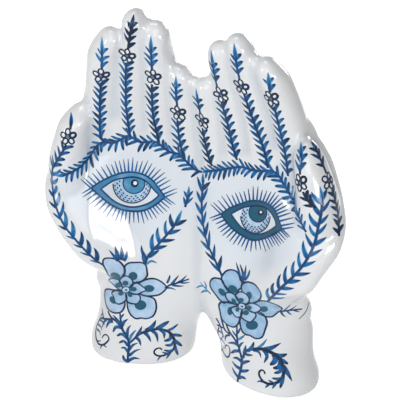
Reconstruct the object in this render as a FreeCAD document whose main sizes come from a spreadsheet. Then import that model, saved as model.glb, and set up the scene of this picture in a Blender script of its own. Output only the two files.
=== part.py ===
import FreeCAD, Part
import os

# A ceramic sculpture of two open hands, joined along their little-finger sides.
# Each hand is a hollow shell, closed at the seam by its own wall, with a clay slab
# set into the wrist from below and three round pads under that slab.
# +Z is up, the palms face -Y, the seam between the hands is the plane X = 0, and
# the part stands on Z = 0. Lengths are millimetres.

doc = FreeCAD.newDocument("OpenHands")
sheet = doc.addObject("Spreadsheet::Sheet", "Sizes")

# Driving sizes of the left hand. Heights are from the foot of the wrist, "out" is
# the distance from the seam plane, and "fore" is the distance in front of the foot.
SIZES = [
    ("left_share", 1.0, "size of the left hand against these sizes"),
    ("right_share", 0.975, "size of the right hand against these sizes"),
    ("foot_back", 4.2, "foot centre behind the middle of the whole part"),
    ("wall", 5.0, "thickness of the ceramic"),
    ("foot_out", 49.5, "seam to the centre of the wrist's foot"),
    ("foot_wide", 71.0, "width of the foot"),
    ("foot_deep", 53.0, "depth of the foot"),
    ("palm_tall", 192.0, "foot to the top of the web between the fingers"),
    ("palm_wide", 98.0, "seam to the outer edge of the palm"),
    ("palm_deep", 44.0, "thickness of the hand below the palm"),
    ("knuckle_tall", 126.0, "foot to where the fingers leave the palm"),
    ("pinky_tall", 227.0, "foot to the tip of the little finger"),
    ("pinky_thick", 22.0, "thickness of the little finger"),
    ("pinky_out", 10.0, "seam to the little finger at its root"),
    ("pinky_tip_out", 9.0, "seam to the tip of the little finger"),
    ("pinky_fore", 0.5, "fore reach of the little finger's root"),
    ("pinky_tip_fore", 19.0, "fore reach of the little finger's tip"),
    ("ring_tall", 255.0, "foot to the tip of the ring finger"),
    ("ring_thick", 22.6, "thickness of the ring finger"),
    ("ring_out", 28.0, "seam to the ring finger at its root"),
    ("ring_tip_out", 20.8, "seam to the tip of the ring finger"),
    ("ring_fore", 4.0, "fore reach of the ring finger's root"),
    ("ring_tip_fore", 27.0, "fore reach of the ring finger's tip"),
    ("middle_tall", 263.0, "foot to the tip of the middle finger"),
    ("middle_thick", 22.8, "thickness of the middle finger"),
    ("middle_out", 46.5, "seam to the middle finger at its root"),
    ("middle_tip_out", 34.0, "seam to the tip of the middle finger"),
    ("middle_fore", 7.5, "fore reach of the middle finger's root"),
    ("middle_tip_fore", 31.0, "fore reach of the middle finger's tip"),
    ("index_tall", 250.0, "foot to the tip of the index finger"),
    ("index_thick", 25.6, "thickness of the index finger"),
    ("index_out", 69.5, "seam to the index finger at its root"),
    ("index_tip_out", 54.3, "seam to the tip of the index finger"),
    ("index_fore", 8.5, "fore reach of the index finger's root"),
    ("index_tip_fore", 31.0, "fore reach of the index finger's tip"),
    ("thumb_root", 102.0, "foot to where the thumb leaves the palm"),
    ("thumb_tall", 197.0, "foot to the tip of the thumb"),
    ("thumb_thick", 32.0, "thickness of the thumb"),
    ("thumb_out", 87.0, "seam to the thumb where it stands furthest out"),
    ("thumb_fore", 25.0, "fore reach of the thumb"),
    ("rim", 3.0, "width of the foot rim outside the slab"),
    ("ledge", 3.0, "width of the ledge above the slab"),
    ("slab_thick", 6.0, "thickness of the slab"),
    ("slab_gap", 0.3, "clearance between slab and rim"),
    ("vent", 8.0, "bore of the vent hole in the slab"),
    ("pad_wide", 12.0, "diameter of a pad"),
    ("pad_thick", 1.5, "thickness of a pad"),
    ("overrun", 2.0, "how far a cutting shape runs past what it cuts"),
]
for row, (alias, value, note) in enumerate(SIZES, start=1):
    sheet.set("A%d" % row, note)
    sheet.set("B%d" % row, str(value))
    sheet.setAlias("B%d" % row, alias)
doc.recompute()

# Each table row is one level cut across a limb, as shares of the sizes it follows.
# The outline of a foot or palm cut goes round nine places: the inner end, four
# along the front (1), the outer end, and three along the back of the hand (-1).
# Each has its share of the way out from the inner end, and its face.
PLACE_SHARES = [
    (0.000, 0),
    (0.107, 1),
    (0.250, 1),
    (0.500, 1),
    (0.800, 1),
    (1.000, 0),
    (0.800, -1),
    (0.500, -1),
    (0.107, -1),
]
# Foot: fore reach at each of the nine places, as shares of the foot's depth.
FOOT_SHARES = (-0.175, 0.180, 0.340, 0.475, 0.450, 0.100, -0.355, -0.545, -0.475)
# Palm: height, inner end, outer end, fore reach at each of the nine places.
# Below the crotch of the wrists the inner end stays clear of the seam plane, and
# above it the cut runs past that plane, where the seam later trims it.
PALM_SHARES = [
    (0.116, 0.105, 0.842, (-0.23, 0.22, 0.39, 0.51, 0.48, 0.07, -0.46, -0.68, -0.62)),
    (0.221, -0.012, 0.812, (-0.25, 0.20, 0.36, 0.47, 0.43, 0.04, -0.47, -0.69, -0.62)),
    (0.316, -0.097, 0.785, (-0.20, 0.25, 0.40, 0.47, 0.46, 0.12, -0.38, -0.60, -0.52)),
    (0.400, -0.102, 0.775, (-0.16, 0.28, 0.43, 0.50, 0.64, 0.42, -0.18, -0.50, -0.44)),
    (0.490, -0.112, 0.878, (-0.14, 0.27, 0.43, 0.46, 0.86, 0.82, -0.02, -0.46, -0.39)),
    (0.589, -0.122, 0.998, (-0.14, 0.22, 0.39, 0.41, 0.88, 0.84, -0.04, -0.44, -0.36)),
    (0.700, -0.128, 1.066, (-0.14, 0.18, 0.35, 0.39, 0.79, 0.66, -0.11, -0.43, -0.34)),
    (0.805, -0.122, 1.020, (-0.11, 0.18, 0.31, 0.43, 0.56, 0.36, -0.11, -0.36, -0.30)),
    (0.905, -0.102, 0.922, (-0.07, 0.20, 0.30, 0.43, 0.43, 0.16, -0.06, -0.20, -0.16)),
    (1.000, -0.082, 0.800, (0.07, 0.19, 0.24, 0.31, 0.35, 0.23, 0.11, 0.07, 0.02)),
]
# Finger: height from root to tip, way from the root's place to the tip's place
# sideways and forwards, thickness.
FINGER_SHARES = [
    (0.000, 0.00, -0.45, 0.75),
    (0.230, 0.00, -0.06, 0.95),
    (0.400, 0.10, 0.12, 1.00),
    (0.620, 0.36, 0.37, 0.96),
    (0.830, 0.76, 0.74, 0.89),
    (0.920, 0.94, 0.93, 0.80),
    (0.967, 1.00, 1.00, 0.60),
    (0.992, 1.00, 1.02, 0.32),
    (1.000, 1.00, 1.02, 0.10),
]
# Thumb: height from root to tip, out, fore reach, thickness.
THUMB_SHARES = [
    (0.000, 0.850, 0.40, 0.55),
    (0.255, 0.966, 0.72, 0.92),
    (0.540, 1.000, 1.00, 0.88),
    (0.777, 0.948, 1.04, 0.71),
    (0.885, 0.920, 1.03, 0.60),
    (0.953, 0.908, 1.01, 0.43),
    (0.988, 0.905, 1.00, 0.22),
    (1.000, 0.905, 1.00, 0.07),
]
# Places of the three pads, as shares of the foot's width and depth from its centre.
PAD_SHARES = {"inner": (-0.27, -0.25), "outer": (0.28, -0.16), "front": (0.03, 0.23)}
# The hollow follows this many rows of each table.
PALM_HOLLOW_ROWS = 9
THUMB_HOLLOW_ROWS = 5
FINGERS = ["pinky", "ring", "middle", "index"]
SIDES = {"left": -1, "right": 1}


def size(alias):
    """Name of a cell of the sheet, for an expression."""
    return "Sizes." + alias


def scaled(side, text):
    """An expression in the left hand's sizes, brought to the size of one hand."""
    return "%s * (%s)" % (size(side + "_share"), text)


def between(low, high, share):
    """A place that lies a share of the way from one named size to another."""
    return "%s + (%s - %s) * %s" % (size(low), size(high), size(low), share)


def place(obj, side, out, fore, high):
    """Bind an object's place: out from the seam, fore of the foot and up from it."""
    obj.setExpression("Placement.Base.x", "%d * (%s)" % (SIDES[side], out))
    obj.setExpression("Placement.Base.y", "%s - (%s)" % (size("foot_back"), fore))
    obj.setExpression("Placement.Base.z", "%s + %s" % (size("pad_thick"), high))


def ring(name, side, out, fore, high, radius):
    """One level round cut."""
    cut = doc.addObject("Part::Circle", name)
    place(cut, side, out, fore, high)
    cut.setExpression("Radius", radius)
    return cut


def outline(name, side, ends, fores, level, less):
    """One level outline through nine places, drawn in all round by a width."""
    scale = sheet.get(side + "_share")
    start = scale * ends[0] + less
    reach = scale * (ends[1] - ends[0]) - 2 * less
    points = []
    for (along, face), fore in zip(PLACE_SHARES, fores):
        ahead = scale * fore - less * face
        points.append(FreeCAD.Vector(SIDES[side] * (start + along * reach), -ahead, 0))
    curve = Part.BSplineCurve()
    curve.interpolate(points, PeriodicFlag=True)
    cut = doc.addObject("Part::Feature", name)
    cut.Shape = Part.Wire([curve.toShape()])
    height = sheet.get("pad_thick") + level
    cut.Placement.Base = FreeCAD.Vector(0, sheet.get("foot_back"), height)
    return cut


def foot_outline(name, side, level, less):
    """The outline of the foot, at a level above or below it."""
    half = sheet.get("foot_wide") / 2
    ends = (sheet.get("foot_out") - half, sheet.get("foot_out") + half)
    fores = [sheet.get("foot_deep") * share for share in FOOT_SHARES]
    return outline(name, side, ends, fores, level, less)


def palm_outline(name, side, row, less):
    """The outline of the palm at one row of its table.

    One that is drawn in also keeps that width from the seam."""
    high, inner, outer, fore_shares = row
    if less > 0:
        inner = max(inner, 0)
    ends = (sheet.get("palm_wide") * inner, sheet.get("palm_wide") * outer)
    fores = [sheet.get("palm_deep") * fore for fore in fore_shares]
    level = sheet.get(side + "_share") * sheet.get("palm_tall") * high
    return outline(name, side, ends, fores, level, less)


def thumb_ring(name, side, row, less):
    """One level cut of the thumb, drawn in by a named width."""
    high, out, fore, thick = row
    return ring(
        name,
        side,
        scaled(side, "%s * %s" % (size("thumb_out"), out)),
        scaled(side, "%s * %s" % (size("thumb_fore"), fore)),
        scaled(side, between("thumb_root", "thumb_tall", high)),
        "%s - (%s)" % (scaled(side, "%s / 2 * %s" % (size("thumb_thick"), thick)), less),
    )


def loft(name, cuts):
    """A solid skinned over level cuts, lowest first."""
    body = doc.addObject("Part::Loft", name)
    body.Sections = cuts
    body.Solid = True
    body.MaxDegree = 3
    return body


def fuse(name, shapes):
    """Several solids made one."""
    body = doc.addObject("Part::MultiFuse", name)
    body.Shapes = shapes
    body.Refine = False
    return body


def boolean(kind, name, base, tool):
    """Two solids cut or held in common."""
    body = doc.addObject(kind, name)
    body.Base = base
    body.Tool = tool
    body.Refine = False
    return body


def palm(side):
    """Wrist, palm with the mound of the thumb, and the web behind the fingers."""
    cuts = [foot_outline(side + "_foot_cut", side, 0, 0)]
    for step, row in enumerate(PALM_SHARES):
        cuts.append(palm_outline("%s_palm_cut_%d" % (side, step), side, row, 0))
    return loft(side + "_palm", cuts)


def finger(side, name):
    """One finger, from inside the palm to its rounded tip."""
    cuts = []
    for step, (high, sideways, forward, thick) in enumerate(FINGER_SHARES):
        cuts.append(
            ring(
                "%s_%s_cut_%d" % (side, name, step),
                side,
                scaled(side, between(name + "_out", name + "_tip_out", sideways)),
                scaled(side, between(name + "_fore", name + "_tip_fore", forward)),
                scaled(side, between("knuckle_tall", name + "_tall", high)),
                scaled(side, "%s / 2 * %s" % (size(name + "_thick"), thick)),
            )
        )
    return loft("%s_%s" % (side, name), cuts)


def thumb(side):
    """The thumb, rising out of its mound at the outer side of the palm."""
    cuts = []
    for step, row in enumerate(THUMB_SHARES):
        cuts.append(thumb_ring("%s_thumb_cut_%d" % (side, step), side, row, "0"))
    return loft(side + "_thumb", cuts)


def half_space(name, side):
    """A box that holds one hand's side of the seam."""
    box = doc.addObject("Part::Box", name)
    reach = "%s + %s" % (size("palm_wide"), size("thumb_out"))
    box.setExpression("Length", reach)
    box.setExpression("Width", "2 * (%s)" % reach)
    box.setExpression("Height", "2 * %s" % size("middle_tall"))
    box.setExpression("Placement.Base.x", "0" if SIDES[side] > 0 else "-(%s)" % reach)
    box.setExpression("Placement.Base.y", "-(%s)" % reach)
    box.setExpression("Placement.Base.z", "-2 * %s" % size("overrun"))
    return box


def hollow(side):
    """The space inside a hand: wrist, palm and thumb less the wall, open below."""
    wall = sheet.get("wall")
    mouth = sheet.get("rim") + sheet.get("ledge")
    cuts = [foot_outline(side + "_mouth_cut", side, -sheet.get("overrun"), mouth)]
    for step, row in enumerate(PALM_SHARES[:PALM_HOLLOW_ROWS]):
        cuts.append(palm_outline("%s_hollow_cut_%d" % (side, step), side, row, wall))
    palm_space = loft(side + "_palm_space", cuts)
    cuts = []
    for step, row in enumerate(THUMB_SHARES[:THUMB_HOLLOW_ROWS]):
        cuts.append(thumb_ring("%s_thumb_hollow_cut_%d" % (side, step), side, row, size("wall")))
    thumb_space = loft(side + "_thumb_space", cuts)
    return [palm_space, thumb_space]


def slab_blank(name, side, below, less):
    """A flat disc of the foot's outline, up to the top of the slab."""
    low = foot_outline(name + "_low", side, -below, less)
    top = foot_outline(name + "_top", side, sheet.get("slab_thick"), less)
    return loft(name, [low, top])


def hand(side):
    """One glazed hand: a shell with a flat wall at the seam and a recess for its slab."""
    limbs = [palm(side), thumb(side)]
    for name in FINGERS:
        limbs.append(finger(side, name))
    solid = fuse(side + "_limbs", limbs)
    half = half_space(side + "_half", side)
    outside = boolean("Part::Common", side + "_outside", solid, half)
    recess = slab_blank(side + "_recess", side, sheet.get("overrun"), sheet.get("rim"))
    removed = fuse(side + "_removed", hollow(side) + [recess])
    return boolean("Part::Cut", side + "_hand", outside, removed)


def wrist_base(side):
    """The unglazed slab that closes a wrist, with a vent hole for the kiln."""
    disc = slab_blank(side + "_disc", side, 0, sheet.get("rim") + sheet.get("slab_gap"))
    hole = doc.addObject("Part::Cylinder", side + "_vent")
    hole.setExpression("Radius", "%s / 2" % size("vent"))
    hole.setExpression("Height", "%s + 2 * %s" % (size("slab_thick"), size("overrun")))
    place(hole, side, scaled(side, size("foot_out")), "0", "-%s" % size("overrun"))
    return boolean("Part::Cut", side + "_wrist_base", disc, hole)


def pad(side, name, across, ahead):
    """A round pad under the slab."""
    disc = doc.addObject("Part::Cylinder", "%s_pad_%s" % (side, name))
    disc.setExpression("Radius", "%s / 2" % size("pad_wide"))
    disc.setExpression("Height", size("pad_thick"))
    out = scaled(side, "%s + %s * %s" % (size("foot_out"), size("foot_wide"), across))
    fore = scaled(side, "%s * %s" % (size("foot_deep"), ahead))
    place(disc, side, out, fore, "-%s" % size("pad_thick"))
    return disc


nodes = []
for side in SIDES:
    nodes.append(hand(side))
    nodes.append(wrist_base(side))
    for name, (across, ahead) in PAD_SHARES.items():
        nodes.append(pad(side, name, across, ahead))
doc.recompute()

for obj in doc.Objects:
    if "Invalid" in obj.State or "Error" in obj.State:
        raise RuntimeError("object failed: %s %s" % (obj.Name, obj.State))
for node in nodes:
    shape = node.Shape
    if shape.isNull() or not shape.isValid() or len(shape.Solids) != 1:
        raise RuntimeError("bad shape: %s, %d solids" % (node.Label, len(shape.Solids)))

os.makedirs("parts", exist_ok=True)
for node in nodes:
    node.Shape.exportStep("parts/%s.step" % node.Label)
    print("%-18s volume %8.0f" % (node.Label, node.Shape.Volume))
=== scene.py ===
import math
import random

import bpy
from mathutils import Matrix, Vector
from mathutils.bvhtree import BVHTree
from mathutils.kdtree import KDTree


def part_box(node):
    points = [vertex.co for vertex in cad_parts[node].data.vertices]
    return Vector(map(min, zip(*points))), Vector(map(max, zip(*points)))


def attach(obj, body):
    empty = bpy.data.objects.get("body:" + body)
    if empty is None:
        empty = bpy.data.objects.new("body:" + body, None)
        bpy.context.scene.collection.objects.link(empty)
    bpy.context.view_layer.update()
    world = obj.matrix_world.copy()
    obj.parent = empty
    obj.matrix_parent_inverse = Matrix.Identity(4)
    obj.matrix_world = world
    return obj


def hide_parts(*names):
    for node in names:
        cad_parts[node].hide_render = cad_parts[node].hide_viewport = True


# A ceramic sculpture of two open hands, white glaze over blue painting. It stands on
# Z = 0, the palms face -Y, and the seam between the hands is the plane X = 0.
# Lengths are metres, and MM turns a size in millimetres into them.
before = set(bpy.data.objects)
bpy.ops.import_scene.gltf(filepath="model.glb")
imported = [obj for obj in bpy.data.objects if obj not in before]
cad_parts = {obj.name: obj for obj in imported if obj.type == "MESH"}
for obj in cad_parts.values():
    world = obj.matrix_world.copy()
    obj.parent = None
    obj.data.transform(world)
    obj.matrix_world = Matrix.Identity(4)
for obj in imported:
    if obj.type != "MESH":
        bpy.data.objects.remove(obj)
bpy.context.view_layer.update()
MM = 0.001


# The camera
# It looks from the front, a little from the right and from above. The painting is
# placed through it, so it comes first.
CAMERA_TURN = math.radians(22)
CAMERA_RISE = math.radians(25)
CAMERA_FIELD = math.radians(19)
CAMERA_AIM = Vector((-8.0, 15.4, 122.5)) * MM
CAMERA_AWAY = 812.7 * MM

back_off = Vector(
    (
        math.sin(CAMERA_TURN) * math.cos(CAMERA_RISE),
        -math.cos(CAMERA_TURN) * math.cos(CAMERA_RISE),
        math.sin(CAMERA_RISE),
    )
)
bpy.ops.object.camera_add(location=CAMERA_AIM + back_off * CAMERA_AWAY)
camera = bpy.context.object
camera.name = "camera"
camera.rotation_euler = (-back_off).to_track_quat("-Z", "Y").to_euler()
camera.data.angle = CAMERA_FIELD
camera.data.clip_start = 0.05
camera.data.clip_end = 20
bpy.context.scene.camera = camera


# The glazed hands
# Two slip-cast porcelain shells, luted together along the little fingers and glazed
# as one, so the joints of the fingers and the seam are soft valleys. Each shell is
# closed at the seam by its own wall.
NET_PITCH = 1.3 * MM
WELD_REACH = 0.001 * MM
SEAM_REACH = 0.01 * MM
SEAM_LAP = 1.0 * MM
VALLEY_FILL = 1.9 * MM
EVENING_ROUNDS = 10
PHOTO_WIDE_PX = 400
EDGE_TRIES = 8


def pick(*objects):
    """Selects these objects alone, the first one active."""
    bpy.ops.object.select_all(action="DESELECT")
    for obj in objects:
        obj.select_set(True)
    bpy.context.view_layer.objects.active = objects[0]


def change(piece, kind, **settings):
    """Gives a piece a modifier with these settings, and applies it."""
    pick(piece)
    modifier = piece.modifiers.new(kind.lower(), kind)
    for setting, value in settings.items():
        setattr(modifier, setting, value)
    bpy.ops.object.modifier_apply(modifier=modifier.name)


def edit(piece, operator, **settings):
    """Runs a mesh operator on the whole of a piece."""
    pick(piece)
    bpy.ops.object.mode_set(mode="EDIT")
    bpy.ops.mesh.select_all(action="SELECT")
    operator(**settings)
    bpy.ops.object.mode_set(mode="OBJECT")


def smooth_shade(piece, crease):
    """Shades a piece smooth, but for edges sharper than this many degrees."""
    pick(piece)
    bpy.ops.object.shade_smooth_by_angle(angle=math.radians(crease))


def soften(piece, rounds, group=""):
    """Evens out a piece, or one group of its points."""
    change(piece, "SMOOTH", factor=0.5, iterations=rounds, vertex_group=group)


def surface_of(piece):
    """A piece's surface, for rays and nearest points."""
    return BVHTree.FromObject(piece, bpy.context.evaluated_depsgraph_get())


def copied(piece, name):
    """A copy of a piece, with a mesh of its own."""
    twin = piece.copy()
    twin.data = piece.data.copy()
    twin.name = name
    bpy.context.collection.objects.link(twin)
    return twin


halves = []
for node in ("left_hand", "right_hand"):
    half = bpy.data.objects.new(node + "_glazed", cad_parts[node].data.copy())
    bpy.context.collection.objects.link(half)
    edit(half, bpy.ops.mesh.remove_doubles, threshold=WELD_REACH)
    lap = SEAM_LAP if node == "left_hand" else -SEAM_LAP
    for vertex in half.data.vertices:
        if abs(vertex.co.x) < SEAM_REACH:
            vertex.co.x = lap
    halves.append(half)

pick(*halves)
bpy.ops.object.join()
hands = bpy.context.object
hands.name = "hands"
hands.data.materials.clear()
change(hands, "REMESH", mode="VOXEL", voxel_size=NET_PITCH)
for swelling in (VALLEY_FILL, -VALLEY_FILL):
    change(hands, "DISPLACE", strength=swelling, mid_level=0)
    change(hands, "REMESH", mode="VOXEL", voxel_size=NET_PITCH)
soften(hands, EVENING_ROUNDS)
glaze = surface_of(hands)


def seen(pixel):
    """The point of the glaze that the photograph shows at a pixel.

    For a pixel beside the hands it is the nearest point of their outline."""
    half = math.tan(CAMERA_FIELD / 2)
    across = (pixel[0] / PHOTO_WIDE_PX * 2 - 1) * half
    down = (pixel[1] / PHOTO_WIDE_PX * 2 - 1) * half
    eye = camera.location
    ray = camera.rotation_euler.to_matrix() @ Vector((across, -down, -1)).normalized()
    hit = glaze.ray_cast(eye, ray)[0]
    if hit:
        return hit
    near = CAMERA_AIM
    for step in range(EDGE_TRIES):
        near = glaze.find_nearest(eye + ray * (near - eye).dot(ray))[0]
    return near


def seen_all(pixels):
    """The points of the glaze at these pixels."""
    return [seen(pixel) for pixel in pixels]


def fading(point, middle, room):
    """1 at the middle of a round place, and 0 from its edge on."""
    apart = min(1.0, (point - middle).length / room)
    return (1 - apart**2) ** 2


# The glaze hides how the real shells swell and draw in between the solids' sections:
# the middle of each place in pixels, and in millimetres how far round it, and the shift
# to the picture's right and up.
SWELLINGS_PX = [
    ((95, 262), 24, -4.0, -2.5),
    ((312, 131), 17, 4.0, 0),
    ((332, 172), 28, 1.8, 0),
    ((304, 303), 18, 4.0, 0),
    ((97, 38), 21, 5.6, 0),
    ((84, 90), 12, -1.5, 0),
    ((140, 10), 12, 1.0, 1.2),
    ((172, 48), 12, -1.5, 0),
    ((209, 66), 10, -2.0, 0),
    ((238, 34), 12, 0, -1.0),
    ((280, 62), 14, -1.0, -1.0),
    ((156, 24), 12, 0.5, 1.6),
    ((74, 106), 20, 2.2, -3.6),
    ((56, 232), 20, 1.8, 0),
    ((101, 275), 14, -3.0, -1.5),
    ((309, 300), 14, 1.2, 0),
    ((314, 342), 20, 1.8, 0),
    ((218, 335), 16, -1.8, 0),
    ((322, 276), 20, -2.0, 0),
]
to_right = camera.rotation_euler.to_matrix() @ Vector((1, 0, 0))
shifts = [
    (seen(pixel), room * MM, to_right * (across * MM) + Vector((0, 0, rise * MM)))
    for pixel, room, across, rise in SWELLINGS_PX
]
for vertex in hands.data.vertices:
    moved = vertex.co.copy()
    for middle, room, shift in shifts:
        moved += shift * fading(vertex.co, middle, room)
    vertex.co = moved

# The clay is sponged soft where each mound meets its wrist.
SPONGED_PX = [(100, 274), (310, 296), (314, 344), (97, 330)]
SPONGED_ROOM = 17 * MM
SPONGE_ROUNDS = 50
sponged = hands.vertex_groups.new(name="sponged")
for middle in seen_all(SPONGED_PX):
    for vertex in hands.data.vertices:
        weight = fading(vertex.co, middle, SPONGED_ROOM)
        if weight:
            sponged.add([vertex.index], weight, "ADD")
soften(hands, SPONGE_ROUNDS, "sponged")
hands.vertex_groups.clear()
glaze = surface_of(hands)

# Glaze runs thicker in the valleys, and the valleys also get painted shade: each point keeps
# how far it lies below a softened copy of the surface, and the material darkens the glaze
# there by it, partly as the tint of pooled glaze and partly as painted shade.
POOL_SHADE_DEPTH = 0.5 * MM
POOL_SHADE_ROUNDS = 40
softened = copied(hands, "softened")
soften(softened, POOL_SHADE_ROUNDS)
pooled_shade = hands.data.attributes.new("pooled_shade", "FLOAT", "POINT")
for vertex, soft, value in zip(hands.data.vertices, softened.data.vertices, pooled_shade.data):
    value.value = (soft.co - vertex.co).dot(vertex.normal) / POOL_SHADE_DEPTH
bpy.data.objects.remove(softened)

# The colour sockets of a Mix node
MIX_FIRST = 6
MIX_SECOND = 7
MIX_OUT = 2


def new_material(name):
    """A node material, with its tree and its Principled shader."""
    material = bpy.data.materials.new(name)
    material.use_nodes = True
    tree = material.node_tree
    return material, tree, tree.nodes["Principled BSDF"]


def feed(tree, node, inputs):
    """Fills a node's sockets with values or links."""
    for socket, value in inputs.items():
        if isinstance(value, bpy.types.NodeSocket):
            tree.links.new(value, node.inputs[socket])
        else:
            node.inputs[socket].default_value = value


def wired(tree, kind, inputs=None, **settings):
    """A new node with its settings, its sockets filled with values or links."""
    node = tree.nodes.new(kind)
    for setting, value in settings.items():
        setattr(node, setting, value)
    feed(tree, node, inputs or {})
    return node


def on_object(tree):
    """The place on the piece, in metres."""
    return wired(tree, "ShaderNodeTexCoord").outputs["Object"]


def noise(tree, scale, detail):
    """Noise with this many lumps to a metre."""
    inputs = {"Vector": on_object(tree), "Scale": scale, "Detail": detail}
    return wired(tree, "ShaderNodeTexNoise", inputs).outputs["Fac"]


def attribute(tree, name):
    """A value that the mesh keeps at its points."""
    return wired(tree, "ShaderNodeAttribute", attribute_name=name).outputs["Fac"]


def reckoned(tree, operation, *values, clamp=False):
    """What a Math node makes of these values."""
    inputs = dict(enumerate(values))
    return wired(tree, "ShaderNodeMath", inputs, operation=operation, use_clamp=clamp).outputs[0]


def ranged(tree, value, before, after):
    """A value moved from one range, as (low, high), to another, and held within it."""
    inputs = {
        "Value": value,
        "From Min": before[0],
        "From Max": before[1],
        "To Min": after[0],
        "To Max": after[1],
    }
    return wired(tree, "ShaderNodeMapRange", inputs).outputs["Result"]


def mixed(tree, factor, first, second):
    """A colour between two others."""
    inputs = {"Factor": factor, MIX_FIRST: first, MIX_SECOND: second}
    return wired(tree, "ShaderNodeMix", inputs, data_type="RGBA").outputs[MIX_OUT]


def bumped(tree, height, strength, depth):
    """The normal of a surface with a fine relief."""
    inputs = {"Height": height, "Strength": strength, "Distance": depth}
    return wired(tree, "ShaderNodeBump", inputs).outputs["Normal"]


GLAZE_WHITE = (0.71, 0.724, 0.74, 1)
GLAZE_BLUSHED = (0.65, 0.70, 0.76, 1)
# The valley colour: the tint of pooled glaze, made darker and greyer as painted shade.
GLAZE_POOLED_SHADE = (0.56, 0.60, 0.65, 1)
GLAZE_ROUGH = 0.09
GLAZE_SPECULAR = 0.5
GLAZE_CREASE = 60
CLAY = (0.56, 0.47, 0.37, 1)
CLAY_ROUGH = 0.85
CLOUD_SCALE = 22
POOL_SHADE_WAVER = 0.12
FOOT_BARE = 2.3 * MM
RIM_FADE = 0.2 * MM
RIM_WAVER = 0.5 * MM
RIPPLE_SCALE = 260
RIPPLE_STRENGTH = 0.05
RIPPLE_DEPTH = 0.2 * MM

porcelain, tree, shader = new_material("glazed porcelain")
cloud = noise(tree, CLOUD_SCALE, 3)
# Painted shade with the pooled glaze: the glaze darkens towards the valley colour by how deep
# the point lies below the softened surface.
uneven = ranged(tree, cloud, (0.3, 0.7), (-POOL_SHADE_WAVER, POOL_SHADE_WAVER))
depth = reckoned(tree, "ADD", attribute(tree, "pooled_shade"), uneven, clamp=True)
fired = mixed(tree, attribute(tree, "blush"), GLAZE_WHITE, GLAZE_BLUSHED)
white = mixed(tree, depth, fired, GLAZE_POOLED_SHADE)
height = wired(tree, "ShaderNodeSeparateXYZ", {"Vector": on_object(tree)}).outputs["Z"]
ragged = ranged(tree, cloud, (0, 1), (-RIM_WAVER, RIM_WAVER))
rim_height = reckoned(tree, "ADD", height, ragged)
glazed = ranged(tree, rim_height, (FOOT_BARE - RIM_FADE, FOOT_BARE), (0, 1))
body = mixed(tree, glazed, CLAY, white)
gloss = ranged(tree, glazed, (0, 1), (CLAY_ROUGH, GLAZE_ROUGH))
skin = bumped(tree, noise(tree, RIPPLE_SCALE, 1), RIPPLE_STRENGTH, RIPPLE_DEPTH)
feed(tree, shader, {"Base Color": body, "Roughness": gloss, "Normal": skin})
feed(tree, shader, {"Specular IOR Level": GLAZE_SPECULAR})

shells = []
for node, side in (("left_hand", -1), ("right_hand", 1)):
    shell = copied(hands, node + "_glazed")
    seam = {"plane_co": (0, 0, 0), "plane_no": (side, 0, 0)}
    edit(shell, bpy.ops.mesh.bisect, use_fill=True, clear_inner=True, **seam)
    smooth_shade(shell, GLAZE_CREASE)
    shell.data.materials.append(porcelain)
    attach(shell, "root")
    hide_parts(node)
    shells.append(shell)
bpy.data.objects.remove(hands)


# The painting: brush and wash
# Cobalt laid on the raw glaze with a pointed brush: dark where a stroke starts and
# ends, paler where the brush was loaded with water. Each stroke is a thin film that
# follows the glaze, and strokes that cross lie in layers a few microns apart.
FILM = 0.2 * MM
FILM_CREASE = 45
LIFT = 0.09 * MM
WASH_LIFT = 0.05 * MM
LINE_OVER = 0.03 * MM
LAYER = 0.004 * MM
LAYERS = 7
STEP = 1 * MM
WASH_CELL = 1.1 * MM
OVAL_STEPS = 8
OVAL_LINE_TONE = 0.92


def between(values, share):
    """The value at a share of the way along a list of values."""
    spot = share * (len(values) - 1)
    low = min(int(spot), len(values) - 2) if len(values) > 1 else 0
    high = min(low + 1, len(values) - 1)
    return values[low] + (values[high] - values[low]) * (spot - low)


def flowing(stops, parts=6):
    """A smooth line through a few stops, with this many parts between two of them."""
    stops = [Vector(stop) for stop in stops]
    line = []
    for first, start, end, last in zip(
        stops[:1] + stops, stops, stops[1:], stops[2:] + stops[-1:]
    ):
        for part in range(parts):
            share = part / parts
            line.append(
                start
                + (end - first) * share / 2
                + (2 * first - 5 * start + 4 * end - last) * share**2 / 2
                + (3 * start - first - 3 * end + last) * share**3 / 2
            )
    line.append(stops[-1])
    return line


def spaced(line, pitch):
    """Evenly spaced points along a line, its ends kept."""
    reach = [0.0]
    for start, end in zip(line, line[1:]):
        reach.append(reach[-1] + (end - start).length)
    count = max(1, round(reach[-1] / pitch))
    points = []
    leg = 0
    for step in range(count + 1):
        want = reach[-1] * step / count
        while leg < len(line) - 2 and reach[leg + 1] < want:
            leg += 1
        share = (want - reach[leg]) / max(reach[leg + 1] - reach[leg], 1e-9)
        points.append(line[leg].lerp(line[leg + 1], share))
    return points


def seen_line(stops):
    """The points of the glaze along a smooth line through a few pixels."""
    return seen_all(flowing(stops))


class Marks:
    """The strokes of one painted piece: their points, faces and tones."""

    def __init__(self):
        self.places = []
        self.faces = []
        self.tones = []
        self.strokes = 0

    def add(self, rows, tones, lift, rim=1.0):
        """Lays rows of points on the glaze as one film.

        The tones go by row, and rim is the share of them that the row's ends keep."""
        start = len(self.places)
        wide = len(rows[0])
        self.strokes += 1
        lift += LAYER * (self.strokes % LAYERS)
        for step, row in enumerate(rows):
            for column, point in enumerate(row):
                place, up = glaze.find_nearest(point)[:2]
                self.places.append(place + up * lift)
                share = rim if column in (0, wide - 1) else 1
                self.tones.append(between(tones, step / (len(rows) - 1)) * share)
        near = start + (len(rows) // 2) * wide
        sides = self.places[near + wide - 1] - self.places[near]
        ahead = self.places[near] - self.places[near - wide]
        outward = sides.cross(ahead).dot(up) > 0
        for step in range(len(rows) - 1):
            for column in range(wide - 1):
                corner = start + step * wide + column
                face = (corner, corner + 1, corner + wide + 1, corner + wide)
                self.faces.append(face if outward else face[::-1])


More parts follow.
